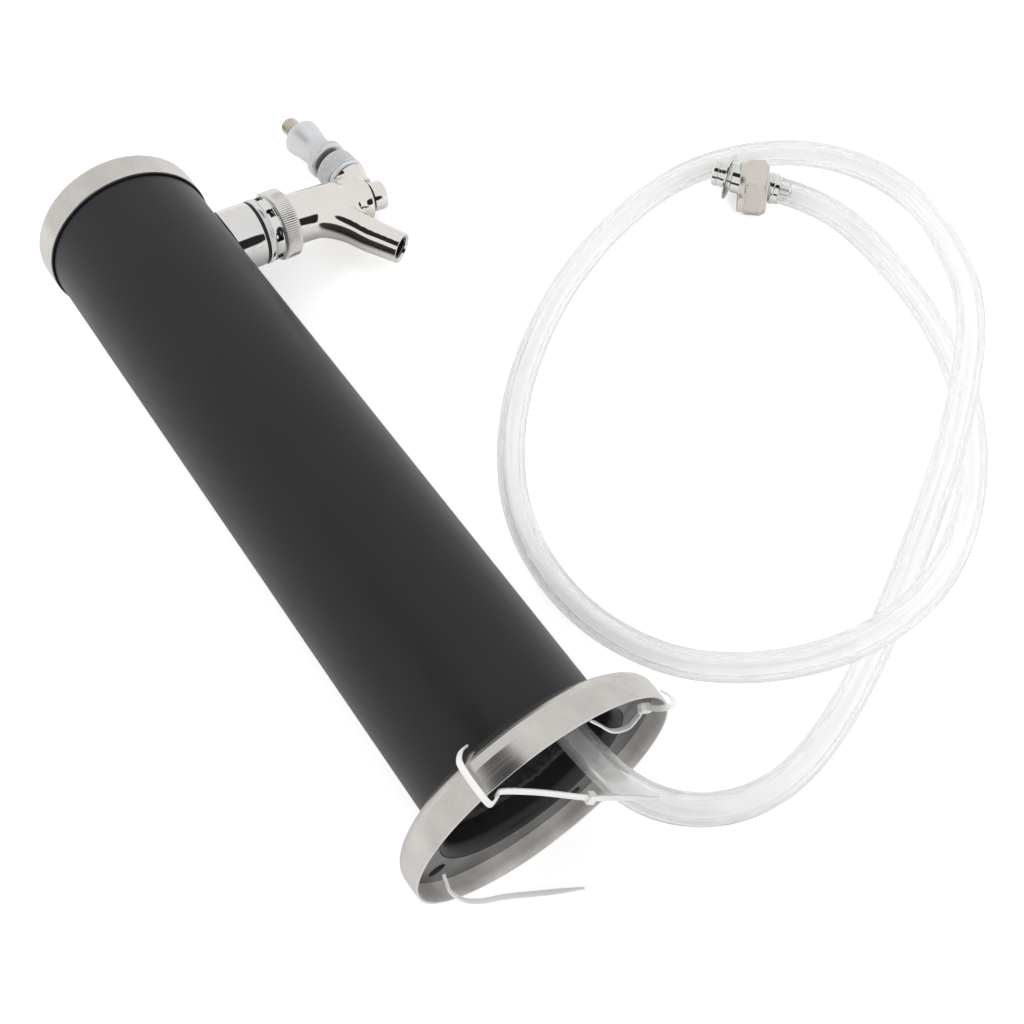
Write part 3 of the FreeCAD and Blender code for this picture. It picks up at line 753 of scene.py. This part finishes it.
def threads(radius, start, end, pitch, depth):
    """A thread's profile, and the shape function that winds it and fades it out at its end."""
    taper = 0.8
    rows = int((end - start) / pitch * ROWS_PER_TURN)
    profile = [(start + (end - start) * i / rows, radius) for i in range(rows + 1)]

    def wind(index, angle, d, r):
        if r < radius - TINY:
            return d, r
        fade = max(0.0, 1 - (end - d) / taper)
        return d, r - depth * max(groove(d, angle, pitch), fade)
    return profile, wind


def build_lever():
    """The lever: tip, ball, neck and the threaded stud for a tap handle."""
    neck_r, shoulder_r, stud_r = 3.0, 4.0, 4.76
    pitch, depth = 1.5875, 0.85
    top = 53.4 * LEVER_SCALE
    stud, wind = threads(stud_r, (357.2 - PIVOT_Z) * LEVER_SCALE, top, pitch, depth)
    tip = [(-14.2, 0), (-14.1, 0.9), (-13.6, 1.7), (-12.9, 2.15), (-12, 2.2), (-11, 2.0), (-9.8, 1.9),
           (-5.1, 1.9)]
    ball = [(-4.2, 3.1), (-3.0, 4.25), (-1.6, 4.95), (0, 5.2), (1.6, 4.95), (3.0, 4.25), (4.25, neck_r)]
    shoulder = [(17.8, neck_r), (18.0, shoulder_r), (42.4, shoulder_r)]
    end = [(top + 0.05, 3.9), (top + 0.05, 1.2), (top + 0.05, 0)]
    lathe("lever_stem", tip + ball + shoulder + stud + end, PIVOT, LEVER_WAY, "lever", STUD, 80,
          False, wind, nodes=("lever",))


def build_ferrule():
    """The satin sleeve on the lever: a knurled ring, a waist and a flare."""
    ring_r, knurls, depth = 10.4, 90, 0.22
    body = [(331.7, 4.2), (331.7, 9.2), (332.0, 9.8), (332.5, 10.25), (333.2, ring_r)]
    body += [(333.4 + 0.25 * i, ring_r) for i in range(11)]
    body += [(336.2, 10.3), (336.7, 9.9), (337.4, 9.2), (338.6, 8.5), (340.4, 8.0), (342.4, 7.85),
             (344.6, 8.05), (347.2, 8.5), (350.0, 9.05), (352.6, 9.55), (354.6, 9.85), (355.6, 9.8),
             (356.3, 9.3), (356.8, 8.3), (357.0, 7.0), (357.0, 4.3)]

    def knurl(index, angle, d, r):
        if r > ring_r - 0.05 and 19.5 < d < 22.2:
            return d, r - depth * abs(math.sin(angle * knurls / 2))
        return d, r
    lathe("ferrule", lever_profile(body), PIVOT, LEVER_WAY, "lever", SATIN_CUT, 540,
          False, knurl, nodes=("lever_ferrule",))


def build_bonnet():
    """The cap over the lever's ball, with a diamond knurl, a thin black sheet in its mouth that is
    painted shade, and the thread under it.
    """
    knurl_r, depth, around, along = 10.5, 0.35, 30, 2.6
    # A thin black sheet on the bonnet's inner cone: painted shade in its mouth.
    mouth = [(323.6, 7.28), (327.7, 8.68), (327.7, 8.76), (323.6, 7.36)]
    lathe("bonnet_mouth_painted_shade", lever_profile(mouth), PIVOT, LEVER_WAY, "tower", RUBBER, 96,
          True)
    cover = [(316.3, 9.0), (316.3, 9.7), (316.6, 10.1), (317.0, 10.2), (318.4, 10.2), (318.7, 9.9),
             (319.0, 9.9), (319.3, 10.4)]
    cover += [(319.5 + 0.2 * i, knurl_r) for i in range(40)]
    cover += [(327.8, 10.2), (328.2, 9.9), (328.35, 9.5), (328.35, 9.0), (327.9, 8.8), (323.4, 7.3),
              (323.2, 9.0)]

    def diamonds(index, angle, d, r):
        if r > knurl_r - 0.05 and 5.6 < d < 13.5:
            one = abs(math.sin(angle * around + d * along))
            other = abs(math.sin(angle * around - d * along))
            return d, r - depth * (1 - min(one, other) ** 0.6)
        return d, r
    lathe("bonnet_cap", lever_profile(cover), PIVOT, LEVER_WAY, "tower", SATIN_CUT, 480, True,
          diamonds, nodes=("bonnet",), sharp=40)
    thread, wind = threads(8.7, 315.5 - PIVOT_Z, 322.9 - PIVOT_Z, 1.2, 0.5)
    boss = [(1.4, 5.9)] + thread + [(8.95, 7.45), (3.1, 7.45), (3.1, 5.9)]
    lathe("boss_thread", boss, PIVOT, LEVER_WAY, "tower", CHROME, 96, True, wind)


def build_shaft():
    """The sliding shaft. Its head, with a black ring at its root that is painted shade, slots and a pin
    hole, stands out of the nose.
    """
    stem_r, body_r, head_r = 2.4, 5.92, 7.25
    profile = [(6.5, 0), (6.5, stem_r), (33.9, stem_r), (34.0, body_r - 0.5), (34.5, body_r)]
    profile += [(34.5 + 0.8 * i, body_r) for i in range(1, 17)]
    profile += [(49.2, body_r), (49.3, head_r - 0.3), (49.6, head_r), (50.2, head_r),
                (50.4, head_r - 0.5), (52.4, head_r - 0.5), (52.6, head_r), (58.6, head_r),
                (59.2, head_r - 0.35), (59.4, head_r - 1.0), (59.4, 0)]
    shaft = lathe("shaft_stub", profile, barrel(0), BARREL_WAY, "shaft", CHROME_CAST, 96)
    cut(shaft, slot_tool(298.8, 2.7, 2.9, 2.7))
    cut(shaft, slot_tool(303.2, 3.0, 5.4, 2.7))
    pin = barrel(57.2) + SIDE * 4.0 + UP * 2.0
    cut(shaft, rod(pin, pin + Vector((0, 4, 2)), 0.8))
    dress(shaft, "shaft", CHROME_CAST, 35)
    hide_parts("faucet_shaft")
    # A black rubber ring at the head's root, next to the nose: painted shade.
    ring = [(50.45, 6.6), (50.45, 7.1), (52.35, 7.1), (52.35, 6.6)]
    lathe("shaft_root_shade_ring", ring, barrel(0), BARREL_WAY, "shaft", RUBBER, 96, True)


# ---------------------------------------------------------------- beer line and its fitting
# The line's route: inside the column in the tower's frame, and from the base on as a place beside it.
ROUTE_IN_TOWER = [
    (8.0, 0, 289.5), (8.0, 0, 246), (14, 1.5, 176), (21, -1.5, 100), (23, 0.5, 45), (23.6, 0, 12)]
ROUTE_ON_FLOOR = [
    (8, 25.5, 47.5), (23, 34, 40), (34, 50, 28), (39.5, 70, 14), (39.5, 96, 6.5), (29, 131, 6.4),
    (9, 173, 6.4), (-24, 232, 22.4), (-63, 284, 22.4), (-105, 314, 6.4), (-148, 321, 6.4),
    (-191, 299, 6.4), (-216, 252, 6.4), (-215, 200, 6.4), (-196, 145, 6.4), (-162, 97, 6.4),
    (-118, 66, 6.4), (-70, 60, 6.4), (-28, 75, 6.4), (0, 104, 9), (19, 138, 22.4), (20, 180, 22.4),
    (-2, 226, 7), (-36, 259, 6.4), (-78, 278, 6.4), (-131, 286, 6.4), (-159.5, 277.7, 12.9),
    (-174.4, 268.6, 12.9)]
HOSE_R, HOSE_BORE_R = 6.35, 3.2


def hose_line():
    """The line's middle: a smooth curve that touches the runs between the route's points."""
    points = [lie(p) for p in ROUTE_IN_TOWER] + [on_floor(from_base(p)) for p in ROUTE_ON_FLOOR]
    curve = bpy.data.curves.new("hose_route", "CURVE")
    curve.dimensions = "3D"
    spline = curve.splines.new("NURBS")
    spline.points.add(len(points) - 1)
    for slot, point in zip(spline.points, points):
        slot.co = (*point, 1)
    spline.order_u = 3
    spline.use_endpoint_u = True
    spline.resolution_u = 14
    holder = bpy.data.objects.new("hose_route", curve)
    bpy.context.scene.collection.objects.link(holder)
    bpy.context.view_layer.update()
    mesh = evaluated(holder)
    line = [v.co.copy() for v in mesh.vertices]
    bpy.data.objects.remove(holder)
    kept = [line[0]]
    for point in line[1:]:
        if (point - kept[-1]).length > 10 * TINY:
            kept.append(point)
    return kept


def build_hose():
    """The line's outside and its bore, with the curve that they follow and its length in metres."""
    line = hose_line()
    length = sum((b - a).length for a, b in zip(line, line[1:]))
    ring = circle(56)
    walls = []
    kinds = (("beer_line", HOSE_R, VINYL), ("beer_line_bore", HOSE_BORE_R, VINYL_BORE))
    for name, radius, material in kinds:
        section = [(a * radius / MM, b * radius / MM) for a, b in ring]
        verts, faces = sweep(line, section, ACROSS, False)
        wall = add_object(name, verts, faces, "tower", material, 60)
        wall.visible_shadow = False
        walls.append(wall)
    hose, bore = walls
    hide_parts("beer_hose")
    return hose, bore, line, length


def build_fitting():
    """The tailpiece, with its sealing disc, and the ringed collar on the line's end."""
    collar_end = 33.6
    last, end = [from_base(p) for p in ROUTE_ON_FLOOR[-2:]]
    way = (last - end).normalized()
    start = end - way * collar_end
    body = [(0, 4.4), (0, 5.6), (0.4, 6.1), (1.0, 6.2), (2.6, 6.2), (2.8, 5.7), (4.2, 5.7), (4.4, 6.2),
            (6.6, 6.2), (6.9, 5.9), (7.0, 6.4)]
    disc = [(7.0, 10.9), (7.2, 11.2), (7.8, 11.2), (8.0, 10.9), (8.2, 7.5)]
    stem = [(8.4, 6.5), (8.6, 6.0), (9.4, 5.9), (9.6, 6.7), (10.0, 7.0), (15.0, 7.0), (15.4, 6.7),
            (15.6, 6.1), (26.4, 6.1), (26.5, 5.0)]
    barb = [(26.5, 3.15), (collar_end, 3.15), (38.0, 3.15), (38.6, 2.7), (38.6, 2.1), (6, 2.1), (6, 4.4)]
    rings = [(26.5, 3.2), (26.5, 7.0), (26.8, 7.4), (27.4, 7.5), (28.6, 7.5), (28.9, 7.1), (29.6, 7.1),
             (29.9, 7.5), (30.7, 7.5), (31.1, 7.1), (31.2, 6.7), (33.2, 6.7), (collar_end, 6.3),
             (collar_end, 3.2)]
    tail = lathe("tailpiece_body", body + disc + stem + barb, start, way, "tower", CHROME, 128,
                 True, place=on_floor, nodes=("tailpiece",))
    collar = lathe("tailpiece_collar", rings, start, way, "tower", CHROME, 128, True,
                   place=on_floor, nodes=("tail_collar",))
    return tail, collar


def build_coupler_nut():
    """The hexagon nut, one flat up, with a round collar at each end and a thread inside."""
    flats, corner_r, collar_r = 12.38, 14.6, 12.2
    thread_r, pitch, depth = 10.85, 1.8, 0.6
    half_length = 6.9
    heading = math.radians(45.4)
    way = Vector((math.cos(heading), math.sin(heading), 0))
    level = Vector((-way.y, way.x, 0))
    centre = from_base((-184.5, 259.75, 12.4))
    start = centre - way * half_length
    first, second = side_axes(way)
    sixth = math.pi / 3

    def shape(index, angle, d, r):
        if abs(r - thread_r) < TINY:
            return d, r + depth * groove(d, angle, pitch)
        if r < collar_r:
            return d, r
        side = first * math.cos(angle) + second * math.sin(angle)
        up = math.atan2(side.z, side.dot(level))
        turn = (up - math.pi / 2 + sixth / 2) % sixth - sixth / 2
        return d, min(r, flats / math.cos(turn))
    rows = int(11.0 / pitch * ROWS_PER_TURN)
    profile = [(0.0, 11.1), (0.0, 11.6), (0.3, 12.0), (0.8, 12.15), (2.6, 12.15), (2.9, 12.5),
               (3.3, 13.2), (4.1, 14.2)]
    profile += [(4.4 + i * 0.7, corner_r) for i in range(11)]
    profile += [(11.7, 14.2), (12.3, 13.2), (12.6, 12.5), (12.8, 12.1), (13.5, 12.05), (13.8, 11.7),
                (13.8, 9.6), (13.5, 9.25), (11.7, 9.25), (11.4, 9.6), (11.4, 10.8)]
    profile += [(11.3 - 10.9 * i / rows, thread_r) for i in range(rows + 1)]
    return lathe("coupler_hex", profile, start, way, "coupler_nut", NICKEL, 240, True, shape,
                 on_floor, sharp=24, nodes=("coupler_nut",))


# ---------------------------------------------------------------- cable ties
# Each strap's middle line, in the tower's frame.
TIE_LOW = [
    (-37.2, 29.4, 6.4), (-37.8, 30.2, 3.5), (-38, 31.5, 0.3), (-34.5, 36.5, -3.4), (-26, 47.5, -4.8),
    (-14, 55.8, -7), (0, 57, -14), (12, 54.4, -21)]
TIE_OUTER = [
    (-24.3, -33.6, 21.2), (-27.7, -38.3, 19.4), (-30.8, -42.6, 16.8), (-33.4, -46.1, 13.4),
    (-34.2, -47.2, 8.3), (-34.1, -47.1, 1.6), (-33, -45.6, -3.2), (-29.2, -43, -2), (-25.5, -40, 0),
    (-8, -21.5, -2), (12.5, -3.7, -8.3), (22.3, -2.1, -13.7), (32.6, -5.9, -22.5)]
TIE_FAR = [
    (53.6, -19.6, 5.4), (52.2, -24.8, 0.2), (48.9, -28.4, -3.3), (45.2, -26.4, -1.6), (43.8, -19, 3.8),
    (44, -11, 5), (40.4, -5.3, 5.2), (34.1, -6.2, 7), (27.8, -14.3, 9.5), (24.5, -18, 11)]


def cut_corners(width, height, cut_x, cut_y):
    """A section for sweep: a box with its four corners cut off."""
    x, y = width / 2, height / 2
    corners = [(-x, cut_y - y), (cut_x - x, -y), (x - cut_x, -y), (x, cut_y - y)]
    return corners + [(-a, -b) for a, b in corners]


def build_tie(name, node, points, head, side):
    """A flat strap with ridges and a thinning end, and its lock at the point numbered head, if any."""
    steps, thin_end, thinning, ridge_depth = 14, 0.35, 1.2, 0.16
    line = catmull(points, steps)
    last = len(line) - 1
    ridged_corners = (5, 6)

    def ridged(i, k, a, b):
        taper = min(1.0, thin_end + (last - i) / (steps * thinning))
        ridge = ridge_depth if (i % 2 and k in ridged_corners) else 0.0
        return a * taper, b - ridge
    verts, faces = sweep(line, cut_corners(2.2, 0.84, 0.15, 0.14), side, True, ridged)
    strap = add_object(name, [lie(v) for v in verts], faces, "tower", GLOWING_NYLON, 40)
    flip_outward(strap)
    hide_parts(node)
    if head is None:
        return
    at = head * steps
    way = (line[at + 1] - line[at - 1]).normalized()
    first = (side - way * side.dot(way)).normalized()
    spots = [(-1.9, 0.8), (-1.6, 1.0), (1.5, 1.0), (1.9, 0.8)]
    path = [line[at] + way * d for d, _ in spots]
    sizes = [size for _, size in spots]
    box = cut_corners(4.0, 3.6, 0.4, 0.4)
    verts, faces = sweep(path, box, first, True, lambda i, k, a, b: (a * sizes[i], b * sizes[i]))
    lock = add_object(name + "_head", [lie(v) for v in verts], faces, "tower", GLOWING_NYLON, 40)
    flip_outward(lock)


# ---------------------------------------------------------------- stage, lights and camera
FLOOR_LIFT = 0.5
DARK_PATCHES = [((0.86, 0.41, 0.30), 15, 0.02), ((-0.12, -0.30, 0.95), 17, 0.03)]
STUDIO_LEVEL = 0.80


def build_stage():
    """A plain pale floor just below the part, and the studio round it."""
    size, low = 6.0, -0.0002
    verts = [(-size, -size, low), (size, -size, low), (size, size, low), (-size, size, low)]
    mesh = bpy.data.meshes.new("floor")
    mesh.from_pydata(verts, [], [[0, 1, 2, 3]])
    ground = bpy.data.objects.new("floor", mesh)
    bpy.context.scene.collection.objects.link(ground)
    mat, tree, shader = principled("floor_white", (0.93, 0.93, 0.93), 0.7, Specular_IOR_Level=0.1,
                                   Emission_Color=(1, 1, 1, 1))
    glow = tree.nodes.new("ShaderNodeMath")
    glow.operation = "MULTIPLY"
    glow.inputs[1].default_value = FLOOR_LIFT
    tree.links.new(tree.nodes.new("ShaderNodeLightPath").outputs["Is Camera Ray"], glow.inputs[0])
    tree.links.new(glow.outputs["Value"], shader.inputs["Emission Strength"])
    mesh.materials.append(mat)
    build_world()
    bpy.context.scene.view_settings.view_transform = "Standard"


def build_world():
    """White studio. What the metal reflects has two dark patches in it; the backdrop has none.

    A patch has its direction, its radius in degrees and its level.
    """
    soft_edge = 1.5
    world = bpy.data.worlds.new("studio")
    bpy.context.scene.world = world
    world.use_nodes = True
    tree = world.node_tree
    back = tree.nodes["Background"]
    back.inputs["Strength"].default_value = 1.0
    way = tree.nodes.new("ShaderNodeTexCoord").outputs["Generated"]
    last = None
    for axis, radius, level in DARK_PATCHES:
        dot = tree.nodes.new("ShaderNodeVectorMath")
        dot.operation = "DOT_PRODUCT"
        dot.inputs[1].default_value = Vector(axis).normalized()
        tree.links.new(way, dot.inputs[0])
        edge = [math.cos(math.radians(radius + d)) for d in (soft_edge, -soft_edge)]
        patch = spread(tree, dot.outputs["Value"], 1.0 if last else STUDIO_LEVEL, level, *edge)
        if last:
            both = tree.nodes.new("ShaderNodeMath")
            both.operation = "MULTIPLY"
            tree.links.new(last, both.inputs[0])
            tree.links.new(patch, both.inputs[1])
            patch = both.outputs["Value"]
        last = patch
    seen = tree.nodes.new("ShaderNodeLightPath").outputs["Is Camera Ray"]
    either = tree.nodes.new("ShaderNodeMath")
    either.operation = "MAXIMUM"
    tree.links.new(last, either.inputs[0])
    tree.links.new(seen, either.inputs[1])
    tree.links.new(either.outputs["Value"], back.inputs["Color"])


def area_light(name, at, target, size, power):
    """A soft light that isn't itself seen in the metal."""
    data = bpy.data.lights.new(name, "AREA")
    data.shape = "RECTANGLE"
    data.size, data.size_y = size
    data.energy = power
    obj = bpy.data.objects.new(name, data)
    bpy.context.scene.collection.objects.link(obj)
    obj.location = at
    obj.rotation_euler = (Vector(target) - Vector(at)).to_track_quat("-Z", "Y").to_euler()
    obj.visible_glossy = False


def build_camera():
    """The main view, from above the base towards the cap, with the line on the right."""
    right = Vector((0.58547, 0.80798, -0.06621))
    down = Vector((0.69197, -0.54061, -0.47845))
    ahead = Vector((-0.42237, 0.23430, -0.87562))
    data = bpy.data.cameras.new("camera")
    data.sensor_width = 36
    data.lens = 47.57
    data.shift_y = -0.0996
    data.clip_start = 0.01
    data.clip_end = 50
    obj = bpy.data.objects.new("camera", data)
    bpy.context.scene.collection.objects.link(obj)
    turn = Matrix((right, -down, -ahead)).transposed().to_4x4()
    place = on_floor(from_base((99.503, -47.416, 544.35)))
    obj.matrix_world = Matrix.Translation(place) @ turn
    bpy.context.scene.camera = obj


build_camera()
hose, bore, line, length = build_hose()
tail, collar = build_fitting()
hex_nut = build_coupler_nut()
build_column()
build_flange()
build_liner()
build_cap()
build_sleeve()
build_coupling_nut()
build_faucet()
build_faucet_thread()
build_lever()
build_ferrule()
build_bonnet()
build_shaft()
build_tie("strap_low", "tie_low", TIE_LOW, None, Vector((0.5, 0.8, 0)))
build_tie("strap_outer", "tie_outer", TIE_OUTER, 10, Vector((0.8, -0.6, 0)))
build_tie("strap_far", "tie_far", TIE_FAR, 4, Vector((0.6, 0.8, 0)))
for node, finish in (
        ("mounting_plate", PLATE), ("shank", CHROME), ("saddle_washer", ZINC),
        ("shank_lock_nut", BRASS), ("line_elbow", ZINC), ("line_clamp", ZINC),
        ("faucet_gasket", RUBBER), ("seat_washer", RUBBER), ("shaft_nut", BRASS),
        ("friction_ring", GLOWING_NYLON), ("ball_washer", RUBBER)):
    dress_node(node, finish)
build_stage()
area_light("key", (-0.9, -0.4, 1.3), (0, 0.05, 0.03), (0.9, 0.9), 6)
area_light("side", (0.9, 1.0, 0.9), (0, 0.05, 0.03), (0.8, 0.8), 3)
